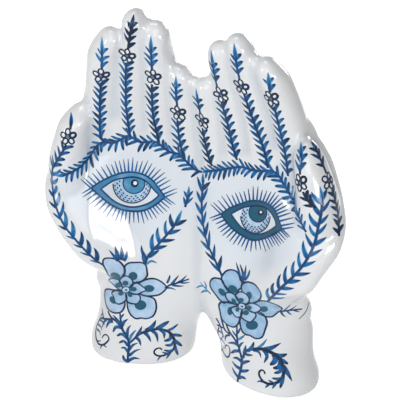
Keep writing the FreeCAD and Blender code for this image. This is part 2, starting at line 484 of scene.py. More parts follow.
def brush(marks, line, widths, tones, lift=LIFT, bleed=1.0):
    """One stroke along a line, with its widths and tones from start to end.

    Where the cobalt bleeds, the stroke's edges keep only a share of its tone."""
    across = (-1, 0, 1) if bleed == 1 else (-1, -0.5, 0, 0.5, 1)
    rows = []
    for step, point in enumerate(line):
        place, up = glaze.find_nearest(point)[:2]
        ahead = line[min(step + 1, len(line) - 1)] - line[max(step - 1, 0)]
        side = ahead.cross(up).normalized() * between(widths, step / (len(line) - 1)) / 2
        rows.append([place + side * share for share in across])
    marks.add(rows, tones, lift, bleed)


def wash(marks, first, second, tones, lift=WASH_LIFT):
    """A wash of colour between two lines."""
    reach = sum((end - start).length for start, end in zip(first, first[1:]))
    count = max(4, round(reach / WASH_CELL))
    widest = max((end - start).length for start, end in zip(first, second))
    columns = max(3, round(widest / WASH_CELL))
    rows = []
    for step in range(count + 1):
        start = between(first, step / count)
        end = between(second, step / count)
        rows.append([start.lerp(end, column / columns) for column in range(columns + 1)])
    marks.add(rows, tones, lift)


def oval(marks, spot, tone, lift, line_wide=0):
    """A filled oval at (across, down, half width, half height, turn) in pixels."""
    across, down, wide, high, turn = spot
    cosine = math.cos(math.radians(-turn))
    sine = math.sin(math.radians(-turn))
    edges = ([], [])
    for step in range(OVAL_STEPS + 1):
        swing = -math.cos(math.pi * step / OVAL_STEPS)
        rise = math.sqrt(max(0.0, 1 - swing * swing))
        for edge, way in zip(edges, (-1, 1)):
            x, y = wide * swing, high * rise * way
            edge.append(seen((across + x * cosine - y * sine, down + x * sine + y * cosine)))
    wash(marks, edges[0], edges[1], [tone], lift)
    if line_wide:
        edge = edges[0] + edges[1][::-1]
        brush(marks, edge, [line_wide], [OVAL_LINE_TONE], lift + LINE_OVER)


# Tones of one cobalt, from a pale wash to the near black where the brush paused
TONES = [
    (0.00, (0.480, 0.615, 0.780, 1)),
    (0.12, (0.260, 0.440, 0.640, 1)),
    (0.26, (0.048, 0.240, 0.440, 1)),
    (0.50, (0.000, 0.115, 0.330, 1)),
    (0.78, (0.000, 0.040, 0.140, 1)),
    (1.00, (0.000, 0.008, 0.026, 1)),
]
WET_SCALE = 170
WET_UNEVEN = 0.22
PAINT_GLOSS = {"Roughness": 0.08, "Specular IOR Level": 0.25}


def cobalt_group():
    """The colour of painted cobalt from a stroke's tone, uneven as a wet brush is."""
    group = bpy.data.node_groups.new("cobalt brushwork", "ShaderNodeTree")
    group.interface.new_socket("Tone", in_out="INPUT", socket_type="NodeSocketFloat")
    group.interface.new_socket("Uneven", in_out="INPUT", socket_type="NodeSocketFloat")
    group.interface.new_socket("Color", in_out="OUTPUT", socket_type="NodeSocketColor")
    given = wired(group, "NodeGroupInput").outputs
    centred = reckoned(group, "SUBTRACT", noise(group, WET_SCALE, 2), 0.5)
    tone = reckoned(group, "MULTIPLY_ADD", centred, given["Uneven"], given["Tone"], clamp=True)
    ramp = wired(group, "ShaderNodeValToRGB", {"Fac": tone})
    stops = ramp.color_ramp.elements
    while len(stops) < len(TONES):
        stops.new(0.5)
    for stop, (where, colour) in zip(stops, TONES):
        stop.position = where
        stop.color = colour
    wired(group, "NodeGroupOutput", {"Color": ramp.outputs["Color"]})
    return group


cobalt, tree, shader = new_material("cobalt under glaze")
laid_on = {"Tone": attribute(tree, "tone"), "Uneven": WET_UNEVEN}
paint = wired(tree, "ShaderNodeGroup", laid_on, node_tree=cobalt_group())
feed(tree, shader, {"Base Color": paint.outputs["Color"], **PAINT_GLOSS})

fuming = []


def painted(name, marks, material=cobalt, fumes=False):
    """Makes the strokes a piece of their own, a film with closed edges.

    Strokes that fume tint the glaze round them."""
    if fumes:
        fuming.extend(marks.places)
    mesh = bpy.data.meshes.new(name)
    mesh.from_pydata(marks.places, [], marks.faces)
    mesh.attributes.new("tone", "FLOAT", "POINT").data.foreach_set("value", marks.tones)
    piece = bpy.data.objects.new(name, mesh)
    bpy.context.collection.objects.link(piece)
    change(piece, "SOLIDIFY", thickness=FILM, offset=-1)
    smooth_shade(piece, FILM_CREASE)
    mesh.materials.append(material)
    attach(piece, "root")


# The vines
# A dark stem with leaves in pairs. One leaf of a pair is thin and pointed, the other
# is pressed on at its tip. The stem runs out into one long leaf, the vine's crown.
# Each shape holds a stroke's widths, as shares, and its tones, from start to end.
THIN = ((1.0, 1.05, 1.0, 0.8, 0.5, 0.12), (0.86, 0.68, 0.55, 0.66, 0.86, 0.96))
BLUNT = ((1.0, 1.0, 1.05, 0.95, 0.75, 0.3), (0.86, 0.64, 0.5, 0.6, 0.86, 1.0))
CURVED = ((1.0, 1.05, 1.0, 0.8, 0.5, 0.12), (0.86, 0.56, 0.44, 0.48, 0.78, 1.0))
LONG_LEAF = ((0.7, 1.0, 1.05, 0.85, 0.5, 0.1), (0.86, 0.66, 0.5, 0.42, 0.36, 0.3))
LEAF_BLEED = 0.2
LEAF_FULLER = 1.12
LEAF_SHADES = (-0.1, -0.05, 0, 0, 0.05, 0.1, 0.2, 0.3)
LEAF_LENGTHS = (0.88, 1.12)
LEAF_WIDTHS = (0.85, 1.15)
LEAF_SWAY = 6
LEAF_LEAST = 0.5
LEAVES_STOP = 0.6
STEM_WIDE = 1.7 * MM
STEM_BLEED = 0.6
STEM_STOPS = 0.8
SHADE_LAG = 8
STEM_TONES = (0.86, 0.76, 0.86)
CROWN = 11 * MM
CROWN_WIDE = 2.8 * MM
hand_shake = random.Random(11)


def leaf(marks, root, ahead, out, length, wide, shape, turning, shade):
    """One leaf, which leaves its stem at one angle and ends at another."""
    widths, tones = shape
    shade += hand_shake.choice(LEAF_SHADES)
    tones = [tone + shade for tone in tones]
    steps = len(widths) - 1
    line = [root]
    for step in range(steps):
        angle = math.radians(between(turning, step / (steps - 1)))
        heading = ahead * math.cos(angle) + out * math.sin(angle)
        line.append(line[-1] + heading * length / steps)
    widths = [LEAF_FULLER * wide * share for share in widths]
    brush(marks, line, widths, tones, bleed=LEAF_BLEED)


def vine(marks, line, pitch, left, right, stem=STEM_WIDE, clear=(), crown=CROWN, shades=(0, 0)):
    """A stem along a line with leaves on both sides.

    left and right are (length, width, shape, (angle at the stem, angle at the tip)),
    clear holds the flowers, as (middle, radius), that the stem passes under, and shades
    how much darker than usual the vine is before and after the first of them."""
    line = spaced(line, STEP)
    turn = len(line)
    if clear:
        turn = min(range(turn), key=lambda step: (line[step] - clear[0][0]).length)
    run = []
    stem_end = len(line) - round(STEM_STOPS * crown / STEP)
    for step, point in enumerate(line[:stem_end] + [None]):
        if point is not None and all((point - spot).length > room for spot, room in clear):
            run.append(point)
            continue
        if len(run) > 2:
            inks = [tone + shades[step > turn + SHADE_LAG] for tone in STEM_TONES]
            brush(marks, run, [stem], inks, LIFT + LINE_OVER, STEM_BLEED)
        run = []
    full = len(line) - 1
    every = max(2, round(pitch / STEP))
    for step in range(every // 2, full - round(LEAVES_STOP * crown / STEP), every):
        ahead = (line[step + 1] - line[step]).normalized()
        up = glaze.find_nearest(line[step])[1]
        grown = min(1.0, LEAF_LEAST + (full - step) * STEP / (3 * crown + STEP))
        for way, sort, shift in ((-1, left, 0), (1, right, every // 3)):
            if step + shift >= full:
                continue
            length, wide, shape, turning = sort
            root = line[step + shift]
            if any((root - spot).length < room + length / 4 for spot, room in clear):
                continue
            length *= grown * hand_shake.uniform(*LEAF_LENGTHS)
            wide *= hand_shake.uniform(*LEAF_WIDTHS)
            sway = hand_shake.uniform(-LEAF_SWAY, LEAF_SWAY)
            turning = [angle + sway for angle in turning]
            out = ahead.cross(up) * way
            leaf(marks, root, ahead, out, length, wide, shape, turning, shades[step > turn])
    if crown:
        tip = line[-max(4, round(crown / STEP)) :]
        widths = [CROWN_WIDE * share for share in LONG_LEAF[0]]
        inks = [tone + shades[1] for tone in LONG_LEAF[1]]
        brush(marks, tip, widths, inks, bleed=LEAF_BLEED)


# The small blossoms on the fingers
# Five petals outlined in near black round a dot, painted over a gap in the vine. The
# brush is fullest on the last petal.
BLOSSOM_ROOM = 5.2 * MM
BLOSSOM_LEAN = 0.4
PETALS = 5
PETAL_OUT = 3.5 * MM
PETAL_LONG = 2.1 * MM
PETAL_WIDE = 1.7 * MM
PETAL_SIZES = (0.92, 1.08)
PETAL_TONES = (0.97, 0.9, 0.97)
LAST_PETAL = 1.5
HEART_RADII = (0.75 * MM, 0.6 * MM)
HEART_LINE = 0.6 * MM
HEART_TONE = 0.9
INK = 1.1 * MM
FACE_STEP_PX = 4


def face_on(pixel):
    """Middle, rightward and upward directions on the glaze at a pixel."""
    middle = seen(pixel)
    up = glaze.find_nearest(middle)[1]
    right = seen((pixel[0] + FACE_STEP_PX, pixel[1])) - middle
    right = (right - up * right.dot(up)).normalized()
    return middle, right, up.cross(right)


def ringed(marks, plane, middle, radii, turn, wide, tones, points=14):
    """An oval drawn round a point of a plane, its first radius turned by an angle."""
    origin, right, upward = plane
    line = []
    for step in range(points + 1):
        angle = step / points * 2 * math.pi
        along = radii[0] * math.cos(angle)
        aside = radii[1] * math.sin(angle)
        across = middle[0] + along * math.cos(turn) - aside * math.sin(turn)
        rise = middle[1] + along * math.sin(turn) + aside * math.cos(turn)
        line.append(origin + right * across + upward * rise)
    brush(marks, line, [wide], tones)


def blossom(marks, pixel, turn):
    """Five ringed petals about a point of the photograph."""
    plane = face_on(pixel)
    for petal in range(PETALS):
        angle = turn + math.radians(90 + 360 // PETALS * petal)
        size = hand_shake.uniform(*PETAL_SIZES)
        out = PETAL_OUT * size
        middle = (out * math.cos(angle), out * math.sin(angle))
        radii = (PETAL_LONG * size, PETAL_WIDE * size)
        ink = LAST_PETAL * INK if petal == PETALS - 1 else INK
        ringed(marks, plane, middle, radii, angle, ink, PETAL_TONES)
    ringed(marks, plane, (0, 0), HEART_RADII, 0, HEART_LINE, [HEART_TONE], points=8)
    return plane[0], BLOSSOM_ROOM


def blossomed_vine(vines, blossoms, flower_px, shades, *route_px):
    """A finger's vine along a route of pixels, with the blossom that it runs under."""
    flower = blossom(blossoms, flower_px, hand_shake.uniform(-BLOSSOM_LEAN, BLOSSOM_LEAN))
    leaves = (FINGER_LEFT_LEAF, FINGER_RIGHT_LEAF)
    vine(vines, seen_line(route_px), FINGER_PITCH, *leaves, clear=[flower], shades=shades)


# The vines of the fingers: the pixel of the blossom, how much darker than usual the vine
# is before and after it, and the vine's pixels from root to tip. One more runs along the
# side of the right thumb.
FINGER_PITCH = 5.3 * MM
FINGER_LEFT_LEAF = (7.2 * MM, 2.1 * MM, THIN, (44, 52))
FINGER_RIGHT_LEAF = (6.6 * MM, 2.4 * MM, BLUNT, (32, 62))
LEFT_FINGERS_PX = {
    "index": ((101, 76), (0.05, -0.1), (102, 140), (100, 132), (100, 115), (100, 100),
              (101, 85), (102, 60), (102, 36)),
    "middle": ((127, 56), (0.05, 0.6), (130, 136), (128, 122), (126, 105), (126, 90), (126, 70),
               (129, 42), (134, 14)),
    "ring": ((153, 77), (0.15, 0), (159, 142), (156, 129), (153, 115), (152, 95), (152, 70),
             (151, 52), (151, 36)),
    "pinky": ((178, 113), (0.1, 0), (183, 156), (180, 142), (178, 128), (177, 105), (176, 92),
              (176, 76)),
    "thumb": ((68, 137), (0.1, 0.3), (53, 168), (58, 159), (63, 151), (68, 140), (71, 124),
              (71, 112)),
}
RIGHT_FINGERS_PX = {
    "pinky": ((202, 121), (0.3, 0.1), (212, 166), (208, 155), (204, 137), (200, 112),
              (198, 102), (196, 88)),
    "ring": ((221, 95), (0.1, 0), (237, 160), (233, 147), (228, 125), (222, 104), (216, 82),
             (213, 66), (211, 50)),
    "middle": ((241, 87), (0.1, 0), (268, 168), (264, 150), (256, 128), (247, 103), (239, 77),
               (236, 60), (234, 43)),
    "index": ((271, 99), (0.05, 0), (288, 176), (286, 158), (281, 135), (275, 110), (270, 92),
              (269, 82), (268, 72)),
    "thumb": ((300, 183), (0.5, 0.05), (316, 208), (309, 202), (303, 192), (300, 176),
              (301, 160), (301, 142)),
}
RIGHT_THUMB_SIDE_PX = (
    (329, 181), (0.35, 0.3),
    (339, 236), (338, 215), (335, 200), (327, 175), (319, 156), (311, 139),
)

carried_round = {"left": {}, "right": {}}
for side, fingers in (("left", LEFT_FINGERS_PX), ("right", RIGHT_FINGERS_PX)):
    vines, blossoms = Marks(), Marks()
    for finger in fingers.values():
        blossomed_vine(vines, blossoms, *finger)
    painted(side + "_finger_vines", vines)
    painted(side + "_finger_blossoms", blossoms)
    carried_round[side]["finger_vines"] = vines
    carried_round[side]["blossoms"] = blossoms

side_vine, side_blossom = Marks(), Marks()
blossomed_vine(side_vine, side_blossom, *RIGHT_THUMB_SIDE_PX)
painted("right_thumb_side_vine", side_vine)
painted("right_thumb_side_blossom", side_blossom)


# The wreaths round the palms
# Thicker vines in arches over each eye and down both sides of each palm, and a sprig
# in the gap of the left one.
ARCH_LEAF_ABOVE = (6.6 * MM, 1.9 * MM, BLUNT, (40, 50))
ARCH_LEAF_BELOW = (7.8 * MM, 2.1 * MM, BLUNT, (48, 62))
SIDE_LEAF = (10.0 * MM, 2.6 * MM, THIN, (38, 32))
SIDE_LEAF_PRESSED = (11.0 * MM, 2.9 * MM, CURVED, (62, 22))
EDGE_LEAF = (7.0 * MM, 2.0 * MM, THIN, (42, 35))
ARCH_PITCH = 4.3 * MM
SIDE_PITCH = 7.5 * MM
LEFT_ARCH_PX = [
    (202, 172), (196, 170), (190, 165), (185, 160), (178, 154), (170, 152), (163, 147),
    (156, 142), (148, 142), (140, 142), (133, 138), (127, 136), (120, 140), (112, 143),
    (104, 142), (97, 146), (92, 153), (87, 160), (80, 167), (72, 172), (64, 175), (56, 176),
]
LEFT_OUTER_PX = [
    (103, 265), (97, 261), (91, 256), (83, 248), (75, 239), (66, 228), (60, 217), (55, 203),
    (53, 190), (52, 178), (53, 165),
]
LEFT_INNER_PX = [
    (145, 264), (149, 255), (157, 246), (165, 237), (172, 229), (177, 221), (182, 210),
]
LEFT_SPRIG_PX = [(185, 207), (188, 197), (189, 186)]
RIGHT_ARCH_PX = [
    (306, 232), (301, 222), (297, 211), (293, 200), (288, 191), (283, 183), (279, 176),
    (272, 171), (262, 171), (252, 170), (242, 167), (231, 168), (220, 170), (210, 171),
    (202, 172),
]
RIGHT_INNER_PX = [
    (222, 276), (215, 260), (208, 245), (204, 229), (202, 212), (202, 198), (203, 186),
    (203, 173),
]
RIGHT_OUTER_PX = [
    (268, 301), (275, 294), (283, 286), (292, 278), (301, 268), (309, 256), (315, 242),
    (318, 228), (321, 214), (322, 202), (320, 186),
]

arch_leaves = (ARCH_PITCH, ARCH_LEAF_BELOW, ARCH_LEAF_ABOVE)
wreath = Marks()
vine(wreath, seen_line(LEFT_ARCH_PX), *arch_leaves, crown=8 * MM)
vine(wreath, seen_line(LEFT_OUTER_PX), SIDE_PITCH, EDGE_LEAF, SIDE_LEAF_PRESSED, crown=0)
vine(wreath, seen_line(LEFT_INNER_PX), SIDE_PITCH, SIDE_LEAF_PRESSED, SIDE_LEAF)
vine(wreath, seen_line(LEFT_SPRIG_PX), 5 * MM, EDGE_LEAF, EDGE_LEAF)
carried_round["left"]["wreath"] = wreath

wreath = Marks()
outer_leaves = (SIDE_PITCH, SIDE_LEAF_PRESSED, SIDE_LEAF)
vine(wreath, seen_line(RIGHT_ARCH_PX), *arch_leaves, crown=6 * MM)
vine(wreath, seen_line(RIGHT_INNER_PX), 8 * MM, SIDE_LEAF, SIDE_LEAF, crown=8 * MM)
vine(wreath, seen_line(RIGHT_OUTER_PX), *outer_leaves, stem=1.9 * MM)
carried_round["right"]["wreath"] = wreath
for side, fronts in carried_round.items():
    painted(side + "_palm_wreath", fronts["wreath"])


# The eyes in the palms
# An almond band washed blue between two dark lines, an iris with rows of dashes, a
# disc with the pupil, and lashes all round. The right eye's band and disc are teal.
LEFT_EYE_PX = {
    "outer_top": [(91, 188), (100, 182), (112, 176), (122, 173), (132, 172), (142, 174),
                  (151, 179), (158, 187), (165, 197)],
    "outer_low": [(91, 188), (100, 196), (110, 204), (120, 209), (130, 211), (141, 211),
                  (150, 208), (158, 203), (165, 197)],
    "inner_top": [(101, 189), (108, 184), (115, 180), (124, 178), (133, 177), (142, 179),
                  (149, 184), (154, 190), (159, 195)],
    "inner_low": [(101, 189), (107, 195), (114, 201), (122, 205), (131, 207), (141, 206),
                  (149, 203), (155, 199), (159, 195)],
    "iris": (132, 184, 19, 19),
    "disc": (134, 183, 11, 10.5),
    "pupil": (134.7, 183.3, 4, 4),
    "glint": (135.2, 183, 2, 2, 0),
    "band_tone": 0.24,
    "lash": ((1.5 * MM, 1.1 * MM, 0.8 * MM, 0.35 * MM), (0.42, 0.5, 0.62, 0.8)),
}
RIGHT_EYE_PX = {
    "outer_top": [(221, 214), (230, 208), (240, 204), (250, 201), (260, 201), (268, 204),
                  (274, 209), (278, 217), (282, 229)],
    "outer_low": [(221, 214), (227, 223), (234, 230), (243, 236), (252, 240), (262, 239),
                  (270, 236), (276, 233), (282, 229)],
    "inner_top": [(231, 214), (238, 210), (245, 207), (252, 206), (259, 206), (266, 208),
                  (271, 213), (275, 220), (276, 226)],
    "inner_low": [(231, 214), (236, 221), (241, 227), (247, 231), (254, 234), (261, 234),
                  (267, 232), (272, 229), (276, 226)],
    "iris": (255.5, 216, 14.7, 17),
    "disc": (258, 212.5, 9, 9.5),
    "pupil": (260.7, 212.5, 3, 3),
    "glint": (261, 212, 1.3, 1.3, 0),
    "band_tone": 0.38,
    "lash": ((1.5 * MM, 1.15 * MM, 0.9 * MM, 0.4 * MM), (0.6, 0.6, 0.7, 0.82)),
}
# The tones of the washes, the lines, each as its widths and tones, and the rings of
# dashes, each as its share of the iris and its count
BAND_DARKER = (0.12, 0, 0, 0.2)
IRIS_TONE = 0.05
DISC_TONE = 0.28
PUPIL_TONE = 0.97
OUTER_LID = ((1.1 * MM, 1.4 * MM, 1.1 * MM), (0.86, 0.82, 0.86))
INNER_LID = ((1.0 * MM, 1.3 * MM, 1.0 * MM), (0.82, 0.82, 0.86))
IRIS_LINE = ([0.9 * MM], [0.86])
DISC_LINE = ([0.8 * MM], [0.9])
DASH = ((0.6 * MM, 1.0 * MM, 0.6 * MM), [0.95])
DASH_FROM_LID_PX = 2
DASH_FROM_DISC_PX = 1.5
IRIS_RINGS = ((0.66, 18), (0.78, 22), (0.9, 26))
TOP_LASHES_PX = (11, 15)
LOW_LASHES_PX = (10, 13.5)
EYE_LIFT = 0.1 * MM
DISC_LINE_LIFT = 1.6 * LIFT
PUPIL_LIFT = 0.15 * MM
GLINT_LIFT = 0.2 * MM
LASH_SPREAD = 0.012
LASH_SHARES = (0.3, 0.65, 1)
LASH_LEAP = 5.5 * MM
TEAL = (0.002, 0.085, 0.150, 1)
SLIP_WHITE = (0.72, 0.75, 0.78, 1)

teal, tree, shader = new_material("teal under glaze")
feed(tree, shader, {"Base Color": TEAL, **PAINT_GLOSS})
white_slip, tree, shader = new_material("white slip")
feed(tree, shader, {"Base Color": SLIP_WHITE, "Roughness": PAINT_GLOSS["Roughness"]})


def lid_at(lid, across):
    """Height of a lid's line, in pixels, at a place across."""
    for start, end in zip(lid, lid[1:]):
        if start[0] <= across <= end[0]:
            return start[1] + (end[1] - start[1]) * (across - start[0]) / (end[0] - start[0])
    return lid[0][1]


def disc_edges(lid, disc, steps=16):
    """Upper and lower edge of a round shape that the upper lid covers in part."""
    across, down, wide, high = disc
    top, low = [], []
    for step in range(steps + 1):
        swing = -math.cos(math.pi * step / steps)
        x = across + wide * swing
        half = high * math.sqrt(max(0.0, 1 - swing * swing))
        top.append((x, max(down - half, lid_at(lid, x))))
        low.append((x, max(down + half, top[-1][1])))
    return seen_all(top), seen_all(low)


def iris_dashes(lines, eye):
    """Rings of short dashes where neither the upper lid nor the disc covers the iris."""
    across, down, wide, high = eye["iris"]
    for ring_share, count in IRIS_RINGS:
        for step in range(count):
            angle = 2 * math.pi * (step + ring_share * 4) / count
            x = across + wide * ring_share * math.cos(angle)
            y = down + high * ring_share * math.sin(angle)
            apart = math.dist((x, y), eye["disc"][:2])
            under_lid = y < lid_at(eye["inner_top"], x) + DASH_FROM_LID_PX
            if under_lid or apart < eye["disc"][2] + DASH_FROM_DISC_PX:
                continue
            swing = (-math.sin(angle), math.cos(angle))
            dash = seen_all([(x + swing[0] * k, y + swing[1] * k) for k in (-1, 0, 1)])
            brush(lines, dash, *DASH, EYE_LIFT)


def lashes(lines, edge, way, lengths, shape):
    """Lashes out from an edge of pixels, up to where the glaze falls away behind."""
    lid = flowing(edge, 3)
    middle = (lid[0] + lid[-1]) / 2
    for step, root in enumerate(lid):
        ahead = lid[min(step + 1, len(lid) - 1)] - lid[max(step - 1, 0)]
        out = Vector((ahead.y, -ahead.x)).normalized() * way
        out = (out + (root - middle) * LASH_SPREAD).normalized()
        long = hand_shake.uniform(*lengths)
        lash = [seen(root)]
        for share in LASH_SHARES:
            point = seen(root + out * long * share)
            if (point - lash[-1]).length > LASH_LEAP:
                break
            lash.append(point)
        if len(lash) > 1:
            brush(lines, lash, *shape)


for side, eye in (("left", LEFT_EYE_PX), ("right", RIGHT_EYE_PX)):
    lines, washes, discs, glint = Marks(), Marks(), Marks(), Marks()
    tones = [eye["band_tone"] + darker for darker in BAND_DARKER]
    band = discs if side == "right" else washes
    for part in ("top", "low"):
        outer = seen_line(eye["outer_" + part])
        inner = seen_line(eye["inner_" + part])
        wash(band, outer, inner, tones)
        brush(lines, outer, *OUTER_LID, EYE_LIFT)
        brush(lines, inner, *INNER_LID, EYE_LIFT)
    top, low = disc_edges(eye["inner_top"], eye["iris"])
    wash(washes, top, low, [IRIS_TONE])
    brush(lines, low, *IRIS_LINE, EYE_LIFT)
    top, low = disc_edges(eye["inner_top"], eye["disc"])
    wash(discs, top, low, [DISC_TONE], LIFT)
    for edge in (top, low):
        brush(lines, edge, *DISC_LINE, DISC_LINE_LIFT)
    iris_dashes(lines, eye)
    top, low = disc_edges(eye["inner_top"], eye["pupil"], 10)
    wash(lines, top, low, [PUPIL_TONE], PUPIL_LIFT)
    lashes(lines, eye["outer_top"], 1, TOP_LASHES_PX, eye["lash"])
    lashes(lines, eye["outer_low"], -1, LOW_LASHES_PX, eye["lash"])
    oval(glint, eye["glint"], 0, GLINT_LIFT)
    painted(side + "_eye_glint", glint, white_slip)
    painted(side + "_eye_washes", washes)
    painted(side + "_eye_disc", discs, teal if side == "right" else cobalt)
    painted(side + "_eye_lines", lines, fumes=True)


# The double flowers on the wrists
# Wide petals in a pale wash between near-black lines, each with a teal oval, and a
# smaller flower over them with dark cores round a ring. Each petal is its outline,
# from one side of its root round the tip to the other side, in pixels.
LEFT_FLOWER_PX = {
    "wash": (0.14, 0.07, 0.02, 0.05),
    "outer": [
        [(114, 281), (109, 276), (106, 270), (103, 264), (104, 259), (109, 258), (115, 259),
         (120, 262), (124, 267), (125, 272), (122, 278)],
        [(125, 278), (124.5, 271), (125, 266), (129, 263), (135, 262.5), (141, 262.5),
         (145.5, 265), (147, 271), (147, 276), (142, 281), (134, 283)],
        [(139, 283), (145, 280), (151, 278.5), (157, 279.5), (163, 283), (166.5, 287.5),
         (163, 292), (158, 295), (150, 296), (144, 295.5), (138, 293)],
        [(127, 302), (128, 309), (131, 315), (136, 318.5), (141, 318), (147, 318.5), (153, 316),
         (156, 310), (156, 303), (153, 298), (143, 295)],
        [(115, 290), (107, 289), (105, 292), (105, 299), (107, 307), (111, 311.5), (116, 313),
         (121, 312), (124, 308), (125, 303), (124, 299)],
    ],
    "inner": [
        [(124, 288), (120, 284), (120, 279.5), (123.5, 276.5), (127, 276), (131, 278.5),
         (133, 282), (132, 286), (128, 288)],
        [(129, 288), (132, 284.5), (137, 283), (142, 286), (146, 290), (142, 292), (138, 294),
         (133, 293.5), (129, 291)],
        [(128, 292), (133, 294), (137, 294), (140, 296), (140, 300), (137.5, 303.5),
         (132, 303.5), (128, 302), (126, 297)],
        [(121, 291), (115, 290.5), (112, 293), (114, 297), (115.5, 302), (119, 304), (124, 302),
         (127, 298), (126, 293)],
        [(121, 290), (116, 287), (112, 283), (109, 280), (111.5, 278.5), (116, 279), (120, 281),
         (122, 285), (123, 288)],
    ],
    "ovals": [(115.5, 276, 5.5, 3.4, -22), (133, 276, 4.6, 4.2, 0), (149, 288.5, 5.5, 3.6, 0),
              (140.5, 305, 6, 5, 0), (113, 300, 4.2, 3, -55)],
    "cores": [(125.5, 283, 3, 2.6, 0), (133.5, 289, 3.4, 2.4, 0), (130, 294.5, 3, 2.2, -45),
              (121, 293.5, 2.8, 2, 0), (118.5, 285, 3.3, 2.5, 0)],
    "ring": (126, 289.5, 4.0, 3.1, 0),
}
RIGHT_FLOWER_PX = {
    "wash": (0.20, 0.13, 0.09, 0.11),
    "outer": [
        [(230, 293), (225, 286.5), (222, 280), (216, 278), (212, 279), (210, 283), (211, 288),
         (216, 295), (220, 300), (224, 303), (228, 302)],
        [(230, 291), (224, 284.5), (221.5, 278), (225, 272), (229, 270), (233, 270), (237, 272),
         (240, 277), (242, 283), (241, 288), (238, 292)],
        [(242, 291), (241.3, 286), (244, 283), (248, 282), (254, 284), (258, 288), (261, 294),
         (260, 299), (256, 302), (251, 303), (246, 301)],
        [(252, 304), (259, 301), (265, 301), (272, 303), (279, 306), (282, 309), (277, 313),
         (272, 316.5), (266, 316.5), (260, 314), (254, 311)],
        [(240, 313), (240, 323), (242, 331), (246, 334.5), (250, 335.5), (256, 338.5),
         (262, 337), (265, 330), (267, 322), (264, 315), (257, 311)],
        [(230, 303), (222, 302), (219, 305), (220, 311), (222, 319), (228, 325), (234, 327),
         (238, 324), (240, 319), (241, 314), (239, 309)],
    ],
    "inner": [
        [(239, 302), (235.5, 296), (238, 292.5), (242, 292), (246, 294), (249, 298), (249, 302),
         (246, 304), (243, 303)],
        [(246, 305), (250, 303), (254, 303.5), (259, 306), (261, 309), (257, 312), (252, 312),
         (249, 310), (246, 307)],
        [(242, 310), (241, 316), (245, 320), (250, 322), (253, 320), (256, 316), (255, 313),
         (251, 311), (245, 308)],
        [(239, 306), (233, 307), (231, 309), (233, 313), (236, 316.5), (240, 317), (242, 314),
         (242, 310), (241, 307)],
        [(238, 304), (231, 302), (227, 299), (225.5, 294), (228, 292.5), (232, 293), (236, 296),
         (239, 300), (240, 303)],
    ],
    "ovals": [(222, 292, 4.5, 2.8, -50), (233, 289, 5, 3.6, -35), (249, 295.5, 3, 4, 0),
              (264, 309, 4.2, 3, 0), (252, 325, 6.2, 4.8, 0), (230, 311, 2.6, 4.2, 0)],
    "cores": [(241, 300, 3, 2.4, 0), (249, 307.5, 3, 2.2, -10), (246, 312.5, 3.2, 2.7, 0),
              (237.5, 309.5, 2, 2.2, 0), (234, 301, 3.4, 1.9, -50)],
    "ring": (242, 306, 3.8, 3, -20),
}
INNER_WASH = (0.16, 0.12, 0.06, 0.03)
OUTER_LINE = 1.1 * MM
INNER_LINE = 1.0 * MM
OUTLINE_WIDTHS = (1, 1.25, 1, 1.3, 1)
OUTLINE_TONES = (0.88, 0.95, 0.85, 0.95, 0.88)
CORE_TONE = 0.5
RING_TONE = 0.02
DOT_TONE = 0.95
DOT_ASIDE_PX = 0.3
DOT_SHAPE_PX = (1.3, 0.9, 0)
OVAL_LIFT = 0.12 * MM
INNER_LIFT = 0.16 * MM
CORE_LIFT = 0.24 * MM
RING_LIFT = 0.27 * MM
RING_LINE = 0.75 * MM
DOT_LIFT = 0.33 * MM


def petal(marks, middle, outline, tones, wide, lift):
    """A wash from the middle of a flower to an outline of pixels, with a line round it."""
    line = seen_line([middle] + outline + [middle])
    half = len(line) // 2
    wash(marks, line[: half + 1], line[::-1][: half + 1], tones, lift)
    widths = [wide * share for share in OUTLINE_WIDTHS]
    brush(marks, line, widths, OUTLINE_TONES, lift + LINE_OVER)


for side, flower in (("left", LEFT_FLOWER_PX), ("right", RIGHT_FLOWER_PX)):
    petals, cores = Marks(), Marks()
    middle = flower["ring"][:2]
    for outline in flower["outer"]:
        petal(petals, middle, outline, flower["wash"], OUTER_LINE, WASH_LIFT)
    for spot in flower["ovals"]:
        oval(cores, spot, CORE_TONE, OVAL_LIFT)
    for outline in flower["inner"]:
        petal(petals, middle, outline, INNER_WASH, INNER_LINE, INNER_LIFT)
    for spot in flower["cores"]:
        oval(cores, spot, CORE_TONE, CORE_LIFT)
    oval(petals, flower["ring"], RING_TONE, RING_LIFT, RING_LINE)
    dot = (middle[0] + DOT_ASIDE_PX, middle[1] + DOT_ASIDE_PX, *DOT_SHAPE_PX)
    oval(petals, dot, DOT_TONE, DOT_LIFT)
    painted(side + "_flower_petals", petals)
    painted(side + "_flower_cores", cores, teal)
    carried_round[side]["flower"] = petals
    carried_round[side]["flower_cores"] = cores


